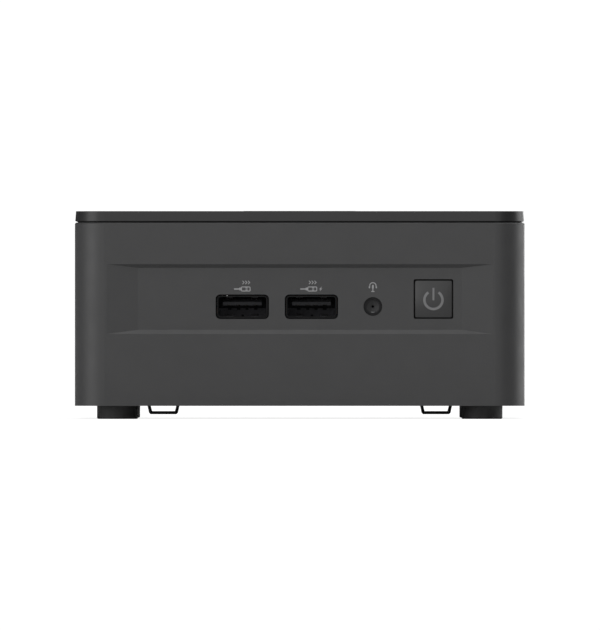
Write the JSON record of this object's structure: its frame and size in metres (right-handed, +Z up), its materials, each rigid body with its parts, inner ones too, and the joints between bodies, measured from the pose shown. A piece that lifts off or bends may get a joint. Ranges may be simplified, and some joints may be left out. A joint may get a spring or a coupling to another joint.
{
  "type": "mini pc",
  "caption": "Compact desktop computer box with a clip-on lid, sockets and a square power button on the front, a socket panel behind, an inner blower and a lift-off bottom cover on feet.",
  "frame": {"origin": "middle of the footprint on the surface it stands on", "axes": "+X to the viewer's right, +Y from front to back, +Z up; the front panel faces -Y"},
  "size_m": [0.1172, 0.112, 0.0542],
  "materials": {
    "antenna_copper": "black film",
    "bay_steel": "bright zinc sheet",
    "board_laminate": "solder mask",
    "button_plastic": "soft gloss, dark grey",
    "card_shield": "shield can",
    "cell_steel": "bright",
    "component_grey": "grey",
    "connector_black": "moulded nylon",
    "copper": "bare copper",
    "cover_steel": "black powder coat",
    "cpu_carrier": "laminate carrier",
    "drive_case": "bead blasted",
    "fan_cover_steel": "plain",
    "fan_plastic": "black",
    "fastener_brass": "bright",
    "fin_aluminium": "bare",
    "flat_cable": "matte black flat cable",
    "foot_rubber": "matt black",
    "frame_black": "matte black",
    "grille_mesh": "matte black",
    "jack_plastic": "black",
    "lead_black": "black",
    "lid_plastic": "smooth satin, dark grey",
    "light_guide": "translucent grey",
    "lock_steel": "black coat",
    "memory_card": "solder mask and chips",
    "pin_metal": "nickel plated",
    "port_steel": "nickel plated",
    "rear_plate": "black coat",
    "screw_steel": "zinc plated",
    "shell_plastic": "fine satin texture, dark grey",
    "shell_plastic_rear": "fine satin texture, dark grey",
    "switch_white": "white",
    "usb_shell_black": "black plated",
    "usb_tongue": "black"
  },
  "bodies": {
    "cover_assembly": {"bottom_cover": "cover_steel", "foot_front_left": "foot_rubber", "foot_front_right": "foot_rubber", "foot_rear_left": "foot_rubber", "foot_rear_right": "foot_rubber", "captive_screws": "screw_steel", "drive_bay": "bay_steel", "drive": "drive_case", "drive_screws": "screw_steel", "drive_cable": "flat_cable", "drive_cable_plug": "connector_black"},
    "chassis": {"antennas": "antenna_copper", "blower_cover": "fan_cover_steel", "blower_housing": "fan_plastic", "board_fasteners": "fastener_brass", "card_screws": "screw_steel", "card_sockets": "connector_black", "chassis_shell": "shell_plastic", "coin_cell": "cell_steel", "cold_plate": "copper", "cold_plate_screws": "screw_steel", "cpu_package": "cpu_carrier", "dc_jack": "jack_plastic", "dc_jack_pin": "pin_metal", "drive_header": "connector_black", "expansion_cover": "shell_plastic_rear", "fan_leads": "lead_black", "fan_motor": "fan_plastic", "fin_stack": "fin_aluminium", "front_usb_left_shell": "usb_shell_black", "front_usb_left_tongue": "usb_tongue", "front_usb_right_shell": "usb_shell_black", "front_usb_right_tongue": "usb_tongue", "hdmi_port_left": "port_steel", "hdmi_port_right": "port_steel", "headset_jack": "jack_plastic", "heat_pipes": "copper", "inner_frame": "frame_black", "lock_slot_plate": "lock_steel", "main_board": "board_laminate", "memory_module_lower": "memory_card", "memory_module_upper": "memory_card", "memory_sockets": "connector_black", "network_jack": "port_steel", "power_components": "component_grey", "power_switch_body": "connector_black", "rear_io_plate": "rear_plate", "rear_usb_shell": "port_steel", "rear_usb_tongues": "usb_tongue", "side_grille_left": "grille_mesh", "side_grille_right": "grille_mesh", "ssd_module": "memory_card", "usb_c_port_left": "port_steel", "usb_c_port_right": "port_steel", "wireless_card": "card_shield"},
    "lid": {"top_lid": "lid_plastic"},
    "button": {"power_button": "button_plastic", "power_symbol": "light_guide"},
    "plunger": {"switch_plunger": "switch_white"},
    "impeller": {"fan_rotor": "fan_plastic"}
  },
  "joints": [
    {"name": "chassis_lift", "type": "slide", "parent": "cover_assembly", "child": "chassis", "axis": [0, 0, 1], "range_m": [0, 0.05]},
    {"name": "lid_lift", "type": "slide", "parent": "chassis", "child": "lid", "axis": [0, 0, 1], "range_m": [0, 0.015]},
    {"name": "power_press", "type": "slide", "parent": "chassis", "child": "button", "axis": [0, 1, 0], "range_m": [0, 0.0006], "stiffness_N_per_m": 3000, "springref_m": -0.0001},
    {"name": "plunger_travel", "type": "slide", "parent": "chassis", "child": "plunger", "axis": [0, 1, 0], "range_m": [0, 0.0006]},
    {"name": "impeller_spin", "type": "hinge", "parent": "chassis", "child": "impeller", "pos_m": [-0.008, -0.008, 0.0427], "axis": [0, 0, 1], "continuous": true}
  ],
  "couplings": [
    {"joint": "plunger_travel", "follows": "power_press", "ratio": 1}
  ]
}
